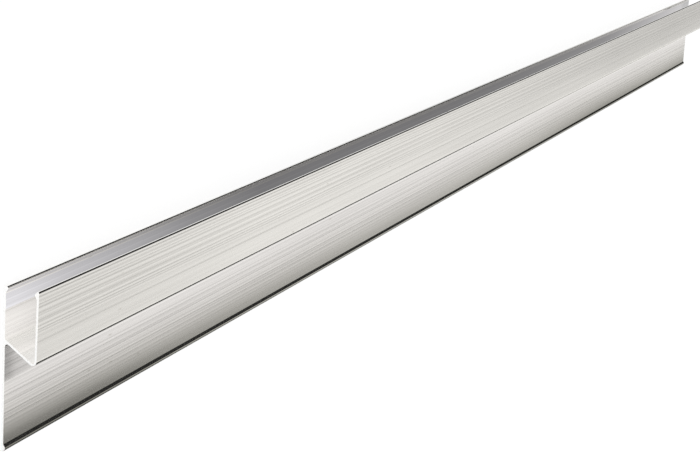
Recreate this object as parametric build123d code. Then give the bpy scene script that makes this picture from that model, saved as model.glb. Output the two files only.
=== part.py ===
import os
from dataclasses import dataclass
from math import atan2, cos, degrees, radians, sin, tan
from build123d import *

# One straight length of extruded aluminium with an h section, as used for a screeding or
# plastering straightedge. A tall thin wall is the blade. A short wall stands in front of its
# upper part, leaning out a little towards its free edge, and a slanting web joins the two, so
# the pair makes a channel to grip.
# All sizes are in millimetres. The length runs along X, the blade's edge is at minus Y, and the
# piece lies on the flat back face of its tall wall, at Z = 0.

# Overall sizes
LENGTH = 2000.0
HEIGHT = 100.0
DEPTH = 23.2

# The tall wall is a touch thicker than the web and the short wall
TALL_WALL = 1.45
THIN_WALL = 1.3

# The short wall ends a little below the tall one, and leans out by this angle
TOP_DROP = 0.4
LEAN = radians(1.1)

# The web, given by the height above the blade's edge where its middle line leaves the middle of
# the tall wall, and where it would reach the middle of the short wall
WEB_TOP = 68.15
WEB_FOOT = 53.75
BEND_INSIDE_RADIUS = 1.5
LOWER_ROOT_RADIUS = 1.7
UPPER_ROOT_RADIUS = 1.6

# The top band of the tall wall is a little thicker, and ends in a small step inside the channel
BAND_HEIGHT = 14.1
BAND_EXTRA = 0.2
BAND_SLOPE = 0.3

# A narrow facet takes the outer corner off the top of the short wall
FACET_HEIGHT = 1.25
FACET_DEPTH = 0.28
FACET_BLEND_RADIUS = 2.5

HALF_HEIGHT = HEIGHT / 2
SHORT_TOP = HALF_HEIGHT - TOP_DROP
BAND_WALL = TALL_WALL + BAND_EXTRA


@dataclass
class Bead:
    """A rounded bead that stiffens one free edge. It grows from the inner side of the wall.

    Distances along the wall are measured from the edge, and thicknesses from the outer face.
    """

    thickness: float
    tip_thickness: float
    bevel_end: float
    nose_end: float
    reach: float
    outer_radius: float
    tip_radius: float
    nose_radius: float
    taper_radius: float


TALL_TOP_BEAD = Bead(
    thickness=3.15,
    tip_thickness=2.4,
    bevel_end=0.75,
    nose_end=1.2,
    reach=3.8,
    outer_radius=0.3,
    tip_radius=0.6,
    nose_radius=0.65,
    taper_radius=1.5,
)
SHORT_TOP_BEAD = Bead(
    thickness=2.7,
    tip_thickness=0.85,
    bevel_end=1.95,
    nose_end=2.6,
    reach=5.0,
    outer_radius=0.25,
    tip_radius=0.15,
    nose_radius=0.9,
    taper_radius=1.5,
)
BLADE_BEAD = Bead(
    thickness=2.6,
    tip_thickness=1.5,
    bevel_end=1.4,
    nose_end=2.65,
    reach=4.2,
    outer_radius=0.4,
    tip_radius=0.5,
    nose_radius=1.2,
    taper_radius=1.2,
)


def across(height):
    """Turn a height above the blade's edge into a position along Y."""
    return height - HALF_HEIGHT


def short_wall_point(along, thick):
    """A point of the short wall, from its top outer corner: down the wall, then into the channel."""
    y = SHORT_TOP - along * cos(LEAN) + thick * sin(LEAN)
    z = DEPTH - along * sin(LEAN) - thick * cos(LEAN)
    return y, z


def back_wall():
    """The tall wall, from the blade's edge to the top of the channel."""
    return Pos(0, TALL_WALL / 2) * Rectangle(HEIGHT, TALL_WALL)


def top_band():
    """The thicker top of the tall wall, with its small sloping step."""
    foot = across(HEIGHT - BAND_HEIGHT)
    outline = Polyline(
        (foot, 0),
        (foot, TALL_WALL),
        (foot + BAND_SLOPE, BAND_WALL),
        (HALF_HEIGHT, BAND_WALL),
        (HALF_HEIGHT, 0),
        close=True,
    )
    return make_face(outline)


def web_foot():
    """Where the middle lines of the web and the leaning short wall meet."""
    top_y, top_z = short_wall_point(0, THIN_WALL / 2)
    y = across(WEB_FOOT)
    return y, top_z - (top_y - y) * tan(LEAN)


def web_and_front_wall():
    """The web and the short wall, one strip of even thickness with a rounded bend."""
    path = FilletPolyline(
        (across(WEB_TOP), TALL_WALL / 2),
        web_foot(),
        short_wall_point(0, THIN_WALL / 2),
        radius=BEND_INSIDE_RADIUS + THIN_WALL / 2,
    )
    return trace(path, line_width=THIN_WALL)


def bead_metal(bead, wall):
    """The bead's outline with the edge at zero, running inward along a wall of given thickness."""
    outline = Polyline(
        (0, 0),
        (0, bead.tip_thickness),
        (bead.bevel_end, bead.thickness),
        (bead.nose_end, bead.thickness),
        (bead.reach, wall),
        (bead.reach, 0),
        close=True,
    )
    return make_face(outline)


def bead_trim(bead):
    """The corner of a square edge that the bead's bevel leaves out."""
    outline = Polyline(
        (0, bead.tip_thickness),
        (bead.bevel_end, bead.thickness),
        (0, bead.thickness),
        close=True,
    )
    return make_face(outline)


def facet_trim():
    """The sliver that the facet takes off the outer corner of an edge."""
    return make_face(Polyline((0, 0), (0, FACET_DEPTH), (FACET_HEIGHT, 0), close=True))


def at_blade_edge(shape):
    """Place an edge shape on the blade's free edge."""
    return Pos(-HALF_HEIGHT, 0) * shape


def at_tall_top(shape):
    """Place an edge shape on the top of the tall wall, facing into the channel."""
    return Pos(HALF_HEIGHT, 0) * mirror(shape, about=Plane.YZ)


def at_short_top(shape):
    """Place an edge shape on the top of the leaning short wall, facing into the channel."""
    return Pos(SHORT_TOP, DEPTH) * (Rot(0, 0, 180 + degrees(LEAN)) * shape)


def round_corner(section, y, z, radius):
    """Round the corner of the section that lies nearest to a given point."""
    corner = section.vertices().sort_by_distance((y, z, 0))[0]
    return fillet(corner, radius=radius)


def round_bead(section, bead, wall, place):
    """Round the corners of one bead. Place turns (along, thick) into a point of the section."""
    corners = (
        (0, 0, bead.outer_radius),
        (0, bead.tip_thickness, bead.tip_radius),
        (bead.bevel_end, bead.thickness, bead.nose_radius),
        (bead.nose_end, bead.thickness, bead.nose_radius),
        (bead.reach, wall, bead.taper_radius),
    )
    for along, thick, radius in corners:
        y, z = place(along, thick)
        section = round_corner(section, y, z, radius)
    return section


def blade_point(along, thick):
    """A point of the blade, from the outer corner of its free edge."""
    return along - HALF_HEIGHT, thick


def tall_top_point(along, thick):
    """A point of the tall wall, from the outer corner of its top."""
    return HALF_HEIGHT - along, thick


def round_web_roots(section):
    """Round the two roots where the web leaves the tall wall."""
    foot_y, foot_z = web_foot()
    slope = (across(WEB_TOP) - foot_y) / (foot_z - TALL_WALL / 2)
    root = across(WEB_TOP) - slope * TALL_WALL / 2
    half_width = THIN_WALL / 2 / cos(atan2(slope, 1))
    section = round_corner(section, root - half_width, TALL_WALL, LOWER_ROOT_RADIUS)
    return round_corner(section, root + half_width, TALL_WALL, UPPER_ROOT_RADIUS)


def h_section():
    """The whole cross section, drawn with Y to the right and Z up."""
    section = back_wall() + top_band() + web_and_front_wall()
    section -= at_blade_edge(bead_trim(BLADE_BEAD))
    section -= at_tall_top(bead_trim(TALL_TOP_BEAD))
    section -= at_short_top(bead_trim(SHORT_TOP_BEAD) + facet_trim())
    section += at_blade_edge(bead_metal(BLADE_BEAD, TALL_WALL))
    section += at_tall_top(bead_metal(TALL_TOP_BEAD, BAND_WALL))
    section += at_short_top(bead_metal(SHORT_TOP_BEAD, THIN_WALL) - facet_trim())
    section = round_web_roots(section)
    section = round_bead(section, BLADE_BEAD, TALL_WALL, blade_point)
    section = round_bead(section, TALL_TOP_BEAD, BAND_WALL, tall_top_point)
    section = round_bead(section, SHORT_TOP_BEAD, THIN_WALL, short_wall_point)
    return round_corner(section, *short_wall_point(FACET_HEIGHT, 0), FACET_BLEND_RADIUS)


def h_profile():
    """The section pushed out to the full length, half to each side of X = 0."""
    section = Plane.YZ * h_section()
    return extrude(section, amount=LENGTH / 2, both=True)


os.makedirs("parts", exist_ok=True)
profile = h_profile()
export_step(profile, "parts/h_profile.step")
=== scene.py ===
import math
import random
from dataclasses import dataclass

import bpy
from mathutils import Matrix, Vector

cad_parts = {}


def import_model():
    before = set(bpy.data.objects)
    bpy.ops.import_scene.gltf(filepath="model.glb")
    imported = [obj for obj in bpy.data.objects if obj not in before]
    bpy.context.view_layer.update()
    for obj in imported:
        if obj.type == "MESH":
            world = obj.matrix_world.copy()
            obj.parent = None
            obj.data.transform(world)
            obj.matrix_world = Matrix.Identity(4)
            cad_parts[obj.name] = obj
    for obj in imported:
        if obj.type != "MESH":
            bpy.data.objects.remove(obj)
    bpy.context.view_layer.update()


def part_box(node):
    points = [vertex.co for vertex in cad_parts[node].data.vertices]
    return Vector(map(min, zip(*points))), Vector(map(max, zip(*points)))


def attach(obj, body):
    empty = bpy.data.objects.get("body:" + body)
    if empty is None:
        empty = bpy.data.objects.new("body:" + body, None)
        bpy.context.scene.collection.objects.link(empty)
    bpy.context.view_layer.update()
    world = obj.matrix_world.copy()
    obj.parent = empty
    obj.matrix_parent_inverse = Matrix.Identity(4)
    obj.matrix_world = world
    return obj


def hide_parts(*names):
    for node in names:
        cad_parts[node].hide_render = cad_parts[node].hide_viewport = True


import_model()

# One straight length of mill finished aluminium with an h section. The length runs along X, the
# blade's edge is at minus Y, and the piece lies on the flat back of its tall wall, at Z = 0.
# Everything is in metres.
MM = 0.001
NODE = "h_profile"
LOW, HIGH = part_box(NODE)
LENGTH = HIGH.x - LOW.x
HEIGHT = HIGH.y - LOW.y

# The section, with the same sizes as the part's source
DEPTH = 23.2 * MM
TALL_WALL = 1.45 * MM
THIN_WALL = 1.3 * MM
TOP_DROP = 0.4 * MM
LEAN = math.radians(1.1)
WEB_TOP = 68.15 * MM
WEB_FOOT = 53.75 * MM
BEND_INSIDE_RADIUS = 1.5 * MM
LOWER_ROOT_RADIUS = 1.7 * MM
UPPER_ROOT_RADIUS = 1.6 * MM
BAND_HEIGHT = 14.1 * MM
BAND_EXTRA = 0.2 * MM
BAND_SLOPE = 0.3 * MM
BAND_ROUNDING = 0.1 * MM
BAND_WALL = TALL_WALL + BAND_EXTRA
FACET_HEIGHT = 1.25 * MM
FACET_DEPTH = 0.28 * MM
FACET_BLEND_RADIUS = 2.5 * MM
SHORT_TOP = HEIGHT - TOP_DROP

# How far apart the mesh's points stand along the section and along the length, and how close two
# may come
FINE_STEP = 0.14 * MM
PLAIN_STEP = 0.5 * MM
ARC_STEP = math.radians(10)
STATION_STEP = 0.1
LEAST_STEP = 0.03 * MM

# The saw breaks the edges of each end by this much
SAW_BURR = 0.06 * MM

# The weak die lines are scattered with this seed
SEED = 41


@dataclass
class Bead:
    """A rounded bead on one free edge, in millimetres.

    Distances along the wall are measured from the edge, and thicknesses from the outer face.
    """

    thickness: float
    tip_thickness: float
    bevel_end: float
    nose_end: float
    reach: float
    outer_radius: float
    tip_radius: float
    nose_radius: float
    taper_radius: float

    def corners(self, wall):
        """From the tip, round the nose, to the plain wall, as (along, thick, radius)."""
        return (
            (0, self.tip_thickness * MM, self.tip_radius * MM),
            (self.bevel_end * MM, self.thickness * MM, self.nose_radius * MM),
            (self.nose_end * MM, self.thickness * MM, self.nose_radius * MM),
            (self.reach * MM, wall, self.taper_radius * MM),
        )


TALL_TOP_BEAD = Bead(
    thickness=3.15,
    tip_thickness=2.4,
    bevel_end=0.75,
    nose_end=1.2,
    reach=3.8,
    outer_radius=0.3,
    tip_radius=0.6,
    nose_radius=0.65,
    taper_radius=1.5,
)
SHORT_TOP_BEAD = Bead(
    thickness=2.7,
    tip_thickness=0.85,
    bevel_end=1.95,
    nose_end=2.6,
    reach=5.0,
    outer_radius=0.25,
    tip_radius=0.15,
    nose_radius=0.9,
    taper_radius=1.5,
)
BLADE_BEAD = Bead(
    thickness=2.6,
    tip_thickness=1.5,
    bevel_end=1.4,
    nose_end=2.65,
    reach=4.2,
    outer_radius=0.4,
    tip_radius=0.5,
    nose_radius=1.2,
    taper_radius=1.2,
)

# The names of the section's straight runs, in order round the section from the tall wall's top.
# The points of the arcs between them are all named corner.
RUNS = (
    "tall tip",
    "tall bevel",
    "tall nose",
    "tall taper",
    "band",
    "step",
    "tall inner",
    "web top",
    "short inner",
    "short taper",
    "short nose",
    "short bevel",
    "short tip",
    "facet",
    "short face",
    "web under",
    "blade",
    "blade taper",
    "blade nose",
    "blade bevel",
    "blade tip",
    "back",
)

# The runs that the material treats apart, each with a share from 0 to 1. Cool metal is bluer and
# smoother to look at, rosy metal is a little pinker, polished metal reflects more sharply, and
# bright metal has the lightest tone, a highlight painted along the walls' tips, noses and tapers.
PAINTED_RUNS = {
    "cool": {
        "tall nose": 0.5,
        "tall taper": 1.0,
        "band": 1.0,
        "blade": 0.25,
        "tall inner": 0.1,
    },
    "polished": {
        "tall tip": 1.0,
        "tall bevel": 1.0,
        "tall nose": 0.6,
        "tall taper": 0.3,
        "band": 0.8,
        "short inner": 0.9,
        "short tip": 1.0,
        "facet": 0.92,
        "blade taper": 0.8,
        "blade nose": 1.0,
        "blade bevel": 1.0,
        "blade tip": 1.0,
        "corner": 0.8,
    },
    "rosy": {"blade": 1.0},
    "bright": {"tall tip": 1.0, "tall nose": 0.5, "tall taper": 0.6, "short tip": 1.0},
}


def meet(p, u, q, v):
    """Where two lines meet, each given by a point and a direction."""
    return p + u * ((q - p).cross(v) / u.cross(v))


def section_corners():
    """The section's corners in order, as (point, radius).

    A point is its height above the blade's edge, then its height above the back face.
    """
    down = Vector((-math.cos(LEAN), -math.sin(LEAN)))
    inward = Vector((math.sin(LEAN), -math.cos(LEAN)))
    top = Vector((SHORT_TOP, DEPTH))
    start = Vector((WEB_TOP, TALL_WALL / 2))
    foot = meet(top + inward * THIN_WALL / 2, down, Vector((WEB_FOOT, 0)), Vector((0, 1)))
    along_web = (foot - start).normalized()
    above = Vector((along_web.y, -along_web.x)) * THIN_WALL / 2
    tall_face = (Vector((0, TALL_WALL)), Vector((1, 0)))
    upper_root = meet(*tall_face, start + above, along_web)
    lower_root = meet(*tall_face, start - above, along_web)
    inner_bend = meet(top + inward * THIN_WALL, down, start + above, along_web)
    outer_bend = meet(top, down, start - above, along_web)
    step = HEIGHT - BAND_HEIGHT
    tall_top = [(Vector((HEIGHT - a, t)), r) for a, t, r in TALL_TOP_BEAD.corners(BAND_WALL)]
    short_top = [(top + down * a + inward * t, r) for a, t, r in SHORT_TOP_BEAD.corners(THIN_WALL)]
    blade = [(Vector((a, t)), r) for a, t, r in BLADE_BEAD.corners(TALL_WALL)]
    return [
        (Vector((HEIGHT, 0)), TALL_TOP_BEAD.outer_radius * MM),
        *tall_top,
        (Vector((step + BAND_SLOPE, BAND_WALL)), BAND_ROUNDING),
        (Vector((step, TALL_WALL)), BAND_ROUNDING),
        (upper_root, UPPER_ROOT_RADIUS),
        (inner_bend, BEND_INSIDE_RADIUS),
        *reversed(short_top),
        (top + inward * FACET_DEPTH, SHORT_TOP_BEAD.outer_radius * MM),
        (top + down * FACET_HEIGHT, FACET_BLEND_RADIUS),
        (outer_bend, BEND_INSIDE_RADIUS + THIN_WALL),
        (lower_root, LOWER_ROOT_RADIUS),
        *reversed(blade),
        (Vector((0, 0)), BLADE_BEAD.outer_radius * MM),
    ]


def arc_points(before, corner, after, radius):
    """Points of the arc that rounds a corner, evenly spread from one tangent point to the other."""
    back = (before - corner).normalized()
    on = (after - corner).normalized()
    half = back.angle(on) / 2
    centre = corner + (back + on).normalized() * radius / math.sin(half)
    start = corner + back * radius / math.tan(half)
    turn = math.pi - 2 * half
    if back.cross(on) > 0:
        turn = -turn
    count = max(2, math.ceil(abs(turn) / ARC_STEP))
    arm = start - centre
    return [centre + Matrix.Rotation(turn * i / count, 2) @ arm for i in range(count + 1)]


def spread(start, end, step):
    """Points strictly between two ends, evenly spaced and no further apart than step."""
    count = max(1, math.ceil((end - start).length / step))
    return [start.lerp(end, i / count) for i in range(1, count)]


def outline():
    """The closed section as (point, run), with arcs at the corners and even runs between them."""
    corners = section_corners()
    arcs = []
    for i, (corner, radius) in enumerate(corners):
        before = corners[i - 1][0]
        after = corners[(i + 1) % len(corners)][0]
        arcs.append(arc_points(before, corner, after, radius))
    points = []
    for i, (arc, run) in enumerate(zip(arcs, RUNS, strict=True)):
        following = arcs[(i + 1) % len(arcs)][0]
        step = PLAIN_STEP if run == "back" else FINE_STEP
        points += [(point, "corner") for point in arc]
        points += [(point, run) for point in spread(arc[-1], following, step)]
    spaced = [points[0]]
    for point in points[1:]:
        if (point[0] - spaced[-1][0]).length > LEAST_STEP:
            spaced.append(point)
    return spaced


# Die lines. A line is a shallow groove or ridge left by the die along the whole length. Strong
# ones are given by their height above the blade's edge in mm, how strong they are (grooves are
# below zero and look darker), and their half width in mm. Weak ones are scattered between them.
DIE_DEPTH = 0.012 * MM
SHORT_FACE_LINES = (
    (97.7, 1.8, 0.3),
    (96.8, -2.0, 0.45),
    (95.5, 1.1, 0.4),
    (94.3, -0.7, 0.4),
    (93.3, 0.7, 0.4),
    (92.3, -0.7, 0.35),
    (91.4, 0.9, 0.35),
    (90.2, -1.2, 0.4),
    (88.6, 1.0, 0.6),
    (87.1, -1.3, 0.45),
    (85.7, -0.5, 0.4),
    (84.7, 1.0, 0.4),
    (82.6, -1.0, 0.4),
    (80.3, 0.6, 0.4),
    (79.1, -1.2, 0.4),
    (78.1, 1.1, 0.35),
    (77.0, -1.0, 0.35),
    (76.1, 0.7, 0.35),
    (75.3, -0.4, 0.3),
    (74.4, 0.4, 0.4),
    (71.7, 0.4, 0.4),
    (69.4, -1.0, 0.45),
    (66.4, 0.3, 0.4),
    (63.4, -0.2, 0.5),
)
BLADE_LINES = (
    (64.5, -1.6, 0.6),
    (61.5, 0.9, 0.5),
    (58.5, -0.9, 0.4),
    (56.5, 0.8, 0.4),
    (53.6, -0.9, 0.5),
    (51.2, -1.1, 0.4),
    (49.0, 1.0, 0.4),
    (46.5, -1.0, 0.4),
    (42.3, 0.9, 0.5),
    (39.0, 0.4, 0.5),
    (37.1, 0.4, 0.4),
    (36.2, -0.5, 0.4),
    (35.2, 0.9, 0.4),
    (33.8, -1.1, 0.4),
    (32.5, -0.6, 0.2),
    (31.4, 0.7, 0.35),
    (30.4, -0.7, 0.25),
    (29.0, -1.1, 0.3),
    (27.9, 0.6, 0.3),
    (27.1, -0.6, 0.2),
    (26.4, 0.5, 0.3),
    (25.4, -0.6, 0.2),
    (24.1, 1.2, 0.35),
    (22.9, -1.8, 0.33),
    (21.4, -0.6, 0.2),
    (20.0, 1.1, 0.3),
    (19.0, -1.0, 0.25),
    (18.1, -0.5, 0.2),
    (17.2, 0.6, 0.4),
    (15.9, -0.7, 0.25),
    (14.7, 0.4, 0.3),
    (13.4, -0.5, 0.2),
    (11.8, -0.4, 0.2),
)
# The step's foot has a dark line of painted shade and its edge a bright painted highlight, each over
# a real shallow groove or ridge. The band is also a little darker towards its top.
STEP_FOOT_SHADE_LINES = ((85.2, -2.2, 0.5),)
BAND_LINES_WITH_STEP_HIGHLIGHT = ((96.0, -0.7, 3.5), (87.0, 2.4, 0.5))
LINED_RUNS = {
    "short face": SHORT_FACE_LINES,
    "blade": BLADE_LINES,
    "tall inner": STEP_FOOT_SHADE_LINES,
    "band": BAND_LINES_WITH_STEP_HIGHLIGHT,
    "web top": (),
    "web under": (),
    "short inner": (),
}
WEAK_LINE_SPACING = 0.9 * MM
WEAK_LINE_STRENGTH = 0.25
WEAK_LINE_HALF_WIDTHS = (0.12, 0.4)
# All lines fade out this close to the ends of their run
LINE_FADE = 0.4 * MM


def die_lines(points):
    """How far each point of the outline is raised or sunk by die lines, with DIE_DEPTH as the unit."""
    rng = random.Random(SEED)
    tones = [0.0] * len(points)
    for run, strong in LINED_RUNS.items():
        members = [i for i, (_, name) in enumerate(points) if name == run]
        first = points[members[0]][0]
        length = (points[members[-1]][0] - first).length
        lines = []
        for height, strength, half_width in strong:
            nearest = min(members, key=lambda i: abs(points[i][0].x - height * MM))
            lines.append(((points[nearest][0] - first).length, strength, half_width * MM))
        for _ in range(round(length / WEAK_LINE_SPACING)):
            place = rng.uniform(0, length)
            strength = rng.gauss(0, WEAK_LINE_STRENGTH)
            lines.append((place, strength, rng.uniform(*WEAK_LINE_HALF_WIDTHS) * MM))
        for i in members:
            along = (points[i][0] - first).length
            fade = min(1, along / LINE_FADE, (length - along) / LINE_FADE)
            tones[i] = fade * sum(s * math.exp(-(((along - at) / w) ** 2)) for at, s, w in lines)
    return tones


def stations():
    """Where along X the section is set down: close to each end for the burr, then even steps."""
    half = LENGTH / 2
    count = round(LENGTH / STATION_STEP)
    inner = [-half + LENGTH * i / count for i in range(1, count)]
    return [-half, -half + SAW_BURR, *inner, half - SAW_BURR, half]


def inward_normals(points):
    """For each point, the unit direction into the metal."""
    found = []
    for i, _ in enumerate(points):
        along = points[(i + 1) % len(points)] - points[i - 1]
        found.append(Vector((-along.y, along.x)).normalized())
    return found


def soften(marks):
    """Spread each mark a little to its neighbours round the ring."""
    n = len(marks)
    return [(marks[i - 1] + marks[i] + marks[(i + 1) % n]) / 3 for i in range(n)]


def add_attribute(mesh, name, values):
    """Give the mesh a number for each of its points, for the material to read."""
    attribute = mesh.attributes.new(name, "FLOAT", "POINT")
    attribute.data.foreach_set("value", values)


def profile_mesh():
    """The extrusion as one closed mesh: rings of the section, joined, with a cap at each end.

    The faces come in order along X, with the two caps last. The size of a ring is returned too.
    """
    ring = outline()
    tones = die_lines(ring)
    points = [Vector((point.x - HEIGHT / 2, point.y)) for point, _ in ring]
    normals = inward_normals(points)
    points = [p - normal * tone * DIE_DEPTH for p, normal, tone in zip(points, normals, tones)]
    places = stations()
    vertices = []
    for i, x in enumerate(places):
        inset = SAW_BURR if i in (0, len(places) - 1) else 0
        for point, normal in zip(points, normals):
            at = point + normal * inset
            vertices.append((x, at.x, at.y))
    n = len(ring)
    faces = []
    for i in range(len(places) - 1):
        for j in range(n):
            k = (j + 1) % n
            faces.append((i * n + j, i * n + k, (i + 1) * n + k, (i + 1) * n + j))
    last = (len(places) - 1) * n
    faces.append(tuple(range(n)))
    faces.append(tuple(range(last + n - 1, last - 1, -1)))
    mesh = bpy.data.meshes.new("profile")
    mesh.from_pydata(vertices, [], faces)
    mesh.validate()
    add_attribute(mesh, "tone", tones * len(places))
    for name, runs in PAINTED_RUNS.items():
        marks = [runs.get(run, 0.0) for _, run in ring]
        add_attribute(mesh, name, soften(marks) * len(places))
    return mesh, n


def add_object(name, data):
    """An object for a mesh or a camera, in the scene."""
    found = bpy.data.objects.new(name, data)
    bpy.context.scene.collection.objects.link(found)
    return found


def build_profile():
    """The whole piece, with sawn ends and mill finish between them."""
    mesh, n = profile_mesh()
    count = len(mesh.polygons)
    # The near end's burr is the first ring of faces. The far end's burr and the caps are the last.
    sawn = set(range(n)) | set(range(count - 2 - n, count))
    for polygon in mesh.polygons:
        polygon.use_smooth = polygon.index not in sawn
        polygon.material_index = 1 if polygon.index in sawn else 0
    for edge in mesh.edges:
        a, b = (mesh.vertices[v].co.x for v in edge.vertices)
        edge.use_edge_sharp = a == b and LENGTH / 2 - abs(a) < MM
    profile = add_object("profile", mesh)
    profile.data.materials.append(mill_finish())
    profile.data.materials.append(sawn_end())
    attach(profile, "root")
    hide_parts(NODE)


WHITE = (1, 1, 1, 1)


class Tree:
    """A node tree, with short ways to add nodes to it.

    Values may be sockets, plain numbers or colours. Fill returns nothing, add and axes return a
    node, and the rest return an output socket.
    """

    # The colour sockets of a Mix node, which share their names with its other sockets
    MIX_FIRST = 6
    MIX_SECOND = 7
    MIX_RESULT = 2

    def __init__(self, owner):
        owner.use_nodes = True
        self.nodes = owner.node_tree.nodes
        self.links = owner.node_tree.links

    def fill(self, node, inputs):
        """Link or set a node's inputs, given by their names or numbers."""
        for name, value in inputs.items():
            if isinstance(value, bpy.types.NodeSocket):
                self.links.new(value, node.inputs[name])
            else:
                node.inputs[name].default_value = value

    def add(self, kind, inputs):
        """Add a node and fill its inputs."""
        node = self.nodes.new(kind)
        self.fill(node, inputs)
        return node

    def math(self, operation, *values):
        """One Math node."""
        node = self.nodes.new("ShaderNodeMath")
        node.operation = operation
        self.fill(node, dict(enumerate(values)))
        return node.outputs[0]

    def mix(self, factor, first, second, blend="MIX"):
        """Blend two colours."""
        node = self.nodes.new("ShaderNodeMix")
        node.data_type = "RGBA"
        node.blend_type = blend
        self.fill(node, {"Factor": factor, self.MIX_FIRST: first, self.MIX_SECOND: second})
        return node.outputs[self.MIX_RESULT]

    def multiply(self, first, second):
        """Multiply two colours."""
        return self.mix(1, first, second, "MULTIPLY")

    def tint(self, colour, share, tint):
        """Multiply a colour by a tint, as far as share says."""
        return self.multiply(colour, self.mix(share, WHITE, tint))

    def map_range(self, value, from_range, to_range, interpolation="LINEAR"):
        """Turn one range of values into another."""
        node = self.nodes.new("ShaderNodeMapRange")
        node.interpolation_type = interpolation
        inputs = {
            "Value": value,
            "From Min": from_range[0],
            "From Max": from_range[1],
            "To Min": to_range[0],
            "To Max": to_range[1],
        }
        self.fill(node, inputs)
        return node.outputs["Result"]

    def soft_step(self, value, start, end):
        """A smooth rise from 0 to 1 as value goes from start to end."""
        return self.map_range(value, (start, end), (0, 1), "SMOOTHSTEP")

    def ramp(self, value, stops):
        """A colour ramp of greys, given by its stops as (position, level)."""
        node = self.add("ShaderNodeValToRGB", {"Fac": value})
        elements = node.color_ramp.elements
        for element, (position, level) in zip(elements, (stops[0], stops[-1])):
            element.position = position
            element.color = (level, level, level, 1)
        for position, level in stops[1:-1]:
            elements.new(position).color = (level, level, level, 1)
        return node.outputs["Color"]

    def place(self):
        """Where on the object a point is, in metres."""
        return self.nodes.new("ShaderNodeTexCoord").outputs["Object"]

    def axes(self, vector):
        """A node that splits a vector into X, Y and Z."""
        return self.add("ShaderNodeSeparateXYZ", {"Vector": vector})

    def stretch(self, place, scale):
        """Scale a place along each axis."""
        return self.add("ShaderNodeMapping", {"Vector": place, "Scale": scale}).outputs["Vector"]

    def noise(self, place, scale, detail):
        """Noise with so many cells to the metre along each axis."""
        inputs = {"Vector": self.stretch(place, scale), "Scale": 1, "Detail": detail}
        return self.add("ShaderNodeTexNoise", inputs).outputs["Fac"]

    def attribute(self, name):
        """A number that the mesh holds for each point."""
        node = self.nodes.new("ShaderNodeAttribute")
        node.attribute_name = name
        return node.outputs["Fac"]

    def bump(self, height, strength, distance):
        """The normal of a relief."""
        inputs = {"Height": height, "Strength": strength, "Distance": distance}
        return self.add("ShaderNodeBump", inputs).outputs["Normal"]


# The mill finish. Its grain is three layers of noise, all drawn out along X, each with its cells to
# the metre along each axis, its detail, and its part in the tone.
LINE_CELLS = (0.7, 650, 650)
LINE_DETAIL = 3
LINE_SHARE = 0.33
HAIR_CELLS = (5, 2400, 2400)
HAIR_DETAIL = 2
HAIR_SHARE = 0.42
DRIFT_CELLS = (3, 60, 60)
DRIFT_DETAIL = 2
DRIFT_SHARE = 0.25
MEAN_GRAIN = 0.5
# How much cool metal loses of its grain
CALMING = 0.7
# The tone goes from dark to light metal, and the die lines and the painted highlight of the bright
# runs are added to it
MEAN_TONE = 0.74
DIE_LINE_SHARE = 0.22
PAINTED_HIGHLIGHT_SHARE = 0.3
DARK_METAL = (0.62, 0.61, 0.593, 1)
LIGHT_METAL = (1.0, 0.991, 0.973, 1)
COOL_TINT = (0.87, 0.89, 0.965, 1)
ROSY_TINT = (1.0, 0.988, 1.0, 1)
# Light metal is smoother than dark, and polished metal smoother still
TONE_RANGE = (0.4, 0.9)
MILL_ROUGHNESS = (0.3, 0.2)
POLISHING = 0.16
ANISOTROPY = 0.6
MILL_BUMP = 0.3
MILL_RELIEF = 0.02 * MM
HAIR_RELIEF_SHARE = 0.5

# Dull spots: their cells to the metre along each axis, the size of a spot as a part of its cell,
# which part of the cells hold one, and their tint
SPECK_CELLS = (28, 110, 110)
SPECK_SIZE = 0.11
SPECK_SHARE = 0.3
SPECK_TINT = (0.72, 0.71, 0.68, 1)


def speckle(tree, colour, place):
    """Add a few small dull spots, longer than wide, to a colour."""
    inputs = {"Vector": tree.stretch(place, SPECK_CELLS), "Scale": 1}
    cells = tree.add("ShaderNodeTexVoronoi", inputs)
    chance = tree.add("ShaderNodeSeparateColor", {"Color": cells.outputs["Color"]})
    spot = tree.soft_step(cells.outputs["Distance"], SPECK_SIZE, 0.0)
    here = tree.math("GREATER_THAN", chance.outputs["Red"], 1 - SPECK_SHARE)
    return tree.tint(colour, tree.math("MULTIPLY", spot, here), SPECK_TINT)


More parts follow.
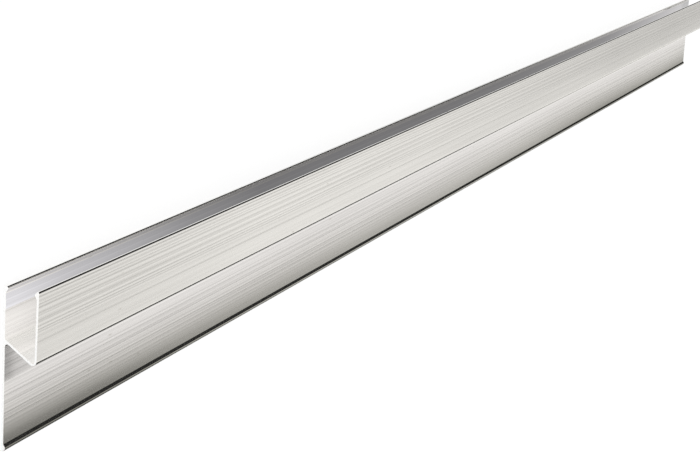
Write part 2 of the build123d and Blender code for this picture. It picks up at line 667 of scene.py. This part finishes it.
def mill_finish():
    """Aluminium as it leaves the die: bright, with grain and lines along X."""
    found = bpy.data.materials.new("mill_finish")
    tree = Tree(found)
    shader = tree.nodes["Principled BSDF"]
    place = tree.place()
    lines = tree.noise(place, LINE_CELLS, LINE_DETAIL)
    hair = tree.noise(place, HAIR_CELLS, HAIR_DETAIL)
    drift = tree.noise(place, DRIFT_CELLS, DRIFT_DETAIL)
    cool = tree.attribute("cool")
    calm = tree.math("MULTIPLY_ADD", cool, -CALMING, 1.0)

    grain = tree.math("MULTIPLY", lines, LINE_SHARE)
    grain = tree.math("MULTIPLY_ADD", hair, HAIR_SHARE, grain)
    grain = tree.math("MULTIPLY_ADD", drift, DRIFT_SHARE, grain)
    grain = tree.math("MULTIPLY", tree.math("SUBTRACT", grain, MEAN_GRAIN), calm)
    tone = tree.math("MULTIPLY_ADD", tree.attribute("tone"), DIE_LINE_SHARE, grain)
    tone = tree.math("ADD", tone, MEAN_TONE)
    # Painted highlight: the bright runs are made lighter
    tone = tree.math("MULTIPLY_ADD", tree.attribute("bright"), PAINTED_HIGHLIGHT_SHARE, tone)

    colour = tree.mix(tone, DARK_METAL, LIGHT_METAL)
    colour = tree.tint(colour, cool, COOL_TINT)
    colour = tree.tint(colour, tree.attribute("rosy"), ROSY_TINT)
    colour = speckle(tree, colour, place)

    rough = tree.map_range(tone, TONE_RANGE, MILL_ROUGHNESS)
    polish = tree.math("MULTIPLY", tree.attribute("polished"), POLISHING)
    relief = tree.math("MULTIPLY_ADD", hair, HAIR_RELIEF_SHARE, lines)
    relief = tree.math("MULTIPLY", relief, calm)
    tangent = tree.nodes.new("ShaderNodeTangent")
    tangent.direction_type = "RADIAL"
    tangent.axis = "X"
    inputs = {
        "Metallic": 1,
        "Anisotropic": ANISOTROPY,
        "Base Color": colour,
        "Roughness": tree.math("SUBTRACT", rough, polish),
        "Normal": tree.bump(relief, MILL_BUMP, MILL_RELIEF),
        "Tangent": tangent.outputs["Tangent"],
    }
    tree.fill(shader, inputs)
    return found


# The sawn ends. The saw's cuts run across the section, along Y.
CUT_CELLS = (1, 90, 1400)
CUT_DETAIL = 2
CUT_METAL = ((0.98, 0.98, 0.975, 1), WHITE)
CUT_RANGE = (0.3, 0.7)
CUT_ROUGHNESS = (0.42, 0.58)
CUT_BUMP = 0.25
CUT_RELIEF = 0.03 * MM


def sawn_end():
    """Freshly sawn aluminium: bright, rougher, with fine cuts."""
    found = bpy.data.materials.new("sawn_end")
    tree = Tree(found)
    cuts = tree.noise(tree.place(), CUT_CELLS, CUT_DETAIL)
    inputs = {
        "Metallic": 1,
        "Base Color": tree.mix(cuts, *CUT_METAL),
        "Roughness": tree.map_range(cuts, CUT_RANGE, CUT_ROUGHNESS),
        "Normal": tree.bump(cuts, CUT_BUMP, CUT_RELIEF),
    }
    tree.fill(tree.nodes["Principled BSDF"], inputs)
    return found


def panel(name, corners, surface):
    """A flat stage object. Surface is given the material's node tree and makes its shader."""
    mesh = bpy.data.meshes.new(name)
    mesh.from_pydata(corners, [], [(0, 1, 2, 3)])
    plane = add_object(name, mesh)
    found = bpy.data.materials.new(name)
    tree = Tree(found)
    tree.nodes.clear()
    tree.add("ShaderNodeOutputMaterial", {"Surface": surface(tree)})
    plane.data.materials.append(found)
    return plane


def level_corners(start, end, low, high, z):
    """The corners of a level panel, from start to end along X and from low to high along Y."""
    return [(start, low, z), (end, low, z), (end, high, z), (start, high, z)]


# The floor is mostly lit by itself, so it is white and keeps only a faint shadow
FLOOR_HALF_SIZE = 40
FLOOR_HEIGHT = -0.2 * MM
FLOOR_PAINT = (0.22, 0.22, 0.22, 1)
FLOOR_GLOW = 0.82


def floor_surface(tree):
    """White paint that glows evenly."""
    paint = tree.add("ShaderNodeBsdfDiffuse", {"Color": FLOOR_PAINT})
    glow = tree.add("ShaderNodeEmission", {"Strength": FLOOR_GLOW})
    both = tree.add("ShaderNodeAddShader", {0: paint.outputs["BSDF"], 1: glow.outputs["Emission"]})
    return both.outputs["Shader"]


def floor():
    """A wide white floor just below the object."""
    half = FLOOR_HALF_SIZE
    panel("floor", level_corners(-half, half, -half, half, FLOOR_HEIGHT), floor_surface)


@dataclass
class Flag:
    """A dark part of the world that only glossy rays see, given by the soft edges that bound it.

    Rise and fall are angles round X from plus Y, in degrees. Start and end say how nearly a ray
    runs along X.
    """

    rise: tuple
    fall: tuple
    start: tuple
    end: tuple


FLAGS = (
    Flag(rise=(35, 46), fall=(97, 118), start=(0.64, 0.74), end=(1.1, 1.2)),
    Flag(rise=(136, 148), fall=(235, 250), start=(0.71, 0.78), end=(0.94, 0.97)),
)
FLAG_STRENGTH = 0.98
# The seam of the angle round X lies where no flag does
ANGLE_SEAM = (math.radians(-90), math.radians(270))
# The rest of the room, as glossy rays see it, is given by the sine of the height above the horizon
ROOM_LEVELS = ((0.0, 0.95), (0.3, 1.0), (1.0, 1.0))
ROOM_TINT = (1.0, 0.985, 0.95, 1)


def flag_share(tree, flag, angle, ahead):
    """How far a ray sees a flag, from 0 to 1."""
    rise = tree.soft_step(angle, *map(math.radians, flag.rise))
    fall = tree.soft_step(angle, *map(math.radians, flag.fall))
    start = tree.soft_step(ahead, *flag.start)
    end = tree.soft_step(ahead, *flag.end)
    return tree.math("MULTIPLY", tree.math("SUBTRACT", rise, fall), tree.math("SUBTRACT", start, end))


def world():
    """White all round. Glossy rays see it a little darker near the horizon, with the flags."""
    studio = bpy.data.worlds.new("studio")
    bpy.context.scene.world = studio
    tree = Tree(studio)
    directions = tree.nodes.new("ShaderNodeTexCoord").outputs["Generated"]
    axes = tree.axes(directions)
    angle = tree.math("ARCTAN2", axes.outputs["Z"], axes.outputs["Y"])
    angle = tree.math("WRAP", angle, *ANGLE_SEAM)
    lit = tree.ramp(axes.outputs["Z"], ROOM_LEVELS)
    for flag in FLAGS:
        share = flag_share(tree, flag, angle, axes.outputs["X"])
        dark = tree.math("MULTIPLY", share, FLAG_STRENGTH)
        lit = tree.math("MULTIPLY", lit, tree.math("SUBTRACT", 1.0, dark))
    glossy = tree.nodes.new("ShaderNodeLightPath").outputs["Is Glossy Ray"]
    loss = tree.math("MULTIPLY", tree.math("SUBTRACT", 1.0, lit), glossy)
    inputs = {
        "Strength": tree.math("SUBTRACT", 1.0, loss),
        "Color": tree.mix(glossy, WHITE, ROOM_TINT),
    }
    tree.fill(tree.nodes["Background"], inputs)


# Small cards close to the profile, which only glossy rays see. Some are dark sheets of painted shadow,
# set where the profile's shade falls for the metal to reflect. Most start at the near end and reach
# past the far one. Levels along a card are given by the part of the profile's length from the near
# end.
CARD_START = LOW.x
CARD_END = 1.5

# The edge card stands along the blade's edge. It is dark at the foot, a painted shadow of the ground
# beside the blade for the blade to reflect, and clearer towards the top and along the middle of the
# length. Its levels are given by the part of its height.
EDGE_CARD_GAP = 4 * MM
EDGE_CARD_TOP = 70 * MM
EDGE_CARD_START = -1.2
EDGE_CARD_END = 1.6
EDGE_CARD_LEVELS = (
    (0.0, 0.13),
    (0.017, 0.11),
    (0.03, 0.02),
    (0.09, 0.02),
    (0.13, 0.26),
    (0.17, 0.28),
    (0.21, 0.16),
    (0.25, 0.17),
    (0.3, 0.27),
    (0.37, 0.38),
    (0.48, 0.54),
    (0.75, 0.83),
    (1.0, 0.97),
)
EDGE_CARD_CLEARING = (
    (0.03, 0.0),
    (0.08, 0.05),
    (0.14, 0.2),
    (0.22, 0.29),
    (0.45, 0.42),
    (0.6, 0.36),
    (0.78, 0.2),
    (0.97, 0.3),
)
EDGE_CARD_TINT = (1.0, 1.0, 0.9, 1)

# The top card hangs over the middle of the piece
TOP_CARD_SPAN = (-20 * MM, 30 * MM)
TOP_CARD_HEIGHT = 60 * MM
TOP_CARD_LEVELS = (
    (0.0, 0.82),
    (0.1, 0.85),
    (0.2, 0.92),
    (0.3, 0.92),
    (0.35, 0.91),
    (0.47, 0.84),
    (0.63, 0.77),
    (0.8, 0.7),
    (0.97, 0.65),
)

# The channel card glows inside the channel, from the near end to the far one
CHANNEL_CARD_START = -1.01
CHANNEL_CARD_SPAN = (12 * MM, 46 * MM)
CHANNEL_CARD_HEIGHT = 12 * MM
CHANNEL_CARD_COLOUR = (0.97, 0.945, 0.92, 1)
CHANNEL_CARD_LEVELS = (
    (0.0, 1.0),
    (0.014, 0.97),
    (0.044, 0.73),
    (0.079, 0.58),
    (0.139, 0.35),
    (0.2, 0.24),
    (0.45, 0.235),
    (0.59, 0.27),
    (0.76, 0.35),
    (0.93, 0.62),
    (1.0, 0.75),
)

# The pocket card lies under the web, at the near end only, as painted shade under the web for the
# blade to reflect
POCKET_CARD_END = -0.9
POCKET_CARD_SPAN = (-14 * MM, 9 * MM)
POCKET_CARD_HEIGHT = 12 * MM
POCKET_CARD_LEVELS = ((0.0, 0.42), (0.012, 0.5), (0.0155, 0.72), (0.03, 0.88), (0.05, 1.0))

# A flag stands past the tall wall's top, a little taller at its far end. A strip lies on the ground
# between the two, a painted shadow beside the tall wall's top for its edge to reflect.
TOP_FLAG_GAP = 2 * MM
TOP_FLAG_FOOT = 0.3 * MM
TOP_FLAG_NEAR_TOP = 4.5 * MM
TOP_FLAG_FAR_TOP = 5.0 * MM
TOP_FLAG_LEVELS = ((0.0, 0.03), (0.5, 0.03), (0.7, 0.5), (1.0, 0.7))
TOP_STRIP_SPAN = (HIGH.y + 0.1 * MM, HIGH.y + 1.9 * MM)
TOP_STRIP_LEVELS = ((0.1, 1.0), (0.3, 0.8), (0.45, 0.7), (0.7, 0.9), (1.0, 1.0))

# Another strip lies between the blade's edge and the edge card, equally dark all along, a painted
# shadow on the ground at the blade's foot
BLADE_STRIP_SPAN = (LOW.y - 3.9 * MM, LOW.y - 0.3 * MM)
BLADE_STRIP_LEVELS = ((0.0, 0.05), (1.0, 0.05))


def card(name, corners, surface):
    """A panel that only glossy rays see."""
    plane = panel(name, corners, surface)
    plane.visible_camera = False
    plane.visible_diffuse = False
    plane.visible_transmission = False
    plane.visible_shadow = False


def levels_along(tree, stops):
    """Levels that follow the profile's length."""
    from_near_end = tree.math("ADD", tree.axes(tree.place()).outputs["X"], LENGTH / 2)
    return tree.ramp(tree.math("DIVIDE", from_near_end, LENGTH), stops)


def filter_light(tree, level):
    """A card that lets light through at a level."""
    return tree.add("ShaderNodeBsdfTransparent", {"Color": level}).outputs["BSDF"]


def edge_card_surface(tree):
    """A filter whose level follows its height and the length."""
    part = tree.math("DIVIDE", tree.axes(tree.place()).outputs["Z"], EDGE_CARD_TOP)
    level = tree.ramp(part, EDGE_CARD_LEVELS)
    level = tree.mix(levels_along(tree, EDGE_CARD_CLEARING), level, WHITE)
    tint = tree.mix(level, EDGE_CARD_TINT, WHITE)
    return filter_light(tree, tree.multiply(level, tint))


def channel_card_surface(tree):
    """An even glow whose level follows the length."""
    inputs = {"Color": CHANNEL_CARD_COLOUR, "Strength": levels_along(tree, CHANNEL_CARD_LEVELS)}
    return tree.add("ShaderNodeEmission", inputs).outputs["Emission"]


def grey_filter(stops):
    """The surface of a card that is a grey filter, with levels along the length."""

    def surface(tree):
        return filter_light(tree, levels_along(tree, stops))

    return surface


def standing_corners(start, end, y, low, start_high, end_high):
    """The corners of a panel that stands along X, from low up to a height at each end."""
    return [(start, y, low), (end, y, low), (end, y, end_high), (start, y, start_high)]


def cards():
    """All the cards round the object, some as a photographer sets them and some as painted shadow."""
    y = LOW.y - EDGE_CARD_GAP
    beside = standing_corners(EDGE_CARD_START, EDGE_CARD_END, y, 0, EDGE_CARD_TOP, EDGE_CARD_TOP)
    card("edge_card", beside, edge_card_surface)
    above = level_corners(CARD_START, CARD_END, *TOP_CARD_SPAN, TOP_CARD_HEIGHT)
    card("top_card", above, grey_filter(TOP_CARD_LEVELS))
    inside = level_corners(CHANNEL_CARD_START, HIGH.x, *CHANNEL_CARD_SPAN, CHANNEL_CARD_HEIGHT)
    card("channel_card", inside, channel_card_surface)
    under = level_corners(CARD_START, POCKET_CARD_END, *POCKET_CARD_SPAN, POCKET_CARD_HEIGHT)
    card("pocket_card", under, grey_filter(POCKET_CARD_LEVELS))
    y = HIGH.y + TOP_FLAG_GAP
    tops = (TOP_FLAG_NEAR_TOP, TOP_FLAG_FAR_TOP)
    beyond = standing_corners(CARD_START, CARD_END, y, TOP_FLAG_FOOT, *tops)
    card("top_edge_flag", beyond, grey_filter(TOP_FLAG_LEVELS))
    # Painted shadow on the ground at the blade's foot
    strip = level_corners(CARD_START, CARD_END, *BLADE_STRIP_SPAN, 0)
    card("blade_foot_shadow_strip", strip, grey_filter(BLADE_STRIP_LEVELS))
    # Painted shadow on the ground beside the tall wall's top
    strip = level_corners(CARD_START, CARD_END, *TOP_STRIP_SPAN, 0)
    card("top_edge_shadow_strip", strip, grey_filter(TOP_STRIP_LEVELS))


# The camera stands above and beyond the near end, on the side of the channel's mouth
CAMERA_PLACE = Vector((-1.977966, 0.3471318, 0.5641485))
CAMERA_FORWARD = Vector((0.9170899, -0.2198965, -0.3325531))
CAMERA_UP = Vector((0.1875571, 0.9740305, -0.1268344))
CAMERA_LENS = 102.857
SENSOR_WIDTH = 36
CLIP_START = 0.01
CLIP_END = 200


def camera():
    """The camera that took the photo."""
    data = bpy.data.cameras.new("camera")
    data.lens = CAMERA_LENS
    data.sensor_width = SENSOR_WIDTH
    data.clip_start = CLIP_START
    data.clip_end = CLIP_END
    eye = add_object("camera", data)
    back = -CAMERA_FORWARD.normalized()
    right = CAMERA_UP.cross(back).normalized()
    up = back.cross(right)
    turn = Matrix((right, up, back)).transposed()
    eye.matrix_world = Matrix.Translation(CAMERA_PLACE) @ turn.to_4x4()
    bpy.context.scene.camera = eye


camera()
world()
floor()
cards()
build_profile()
bpy.context.scene.view_settings.view_transform = "Standard"
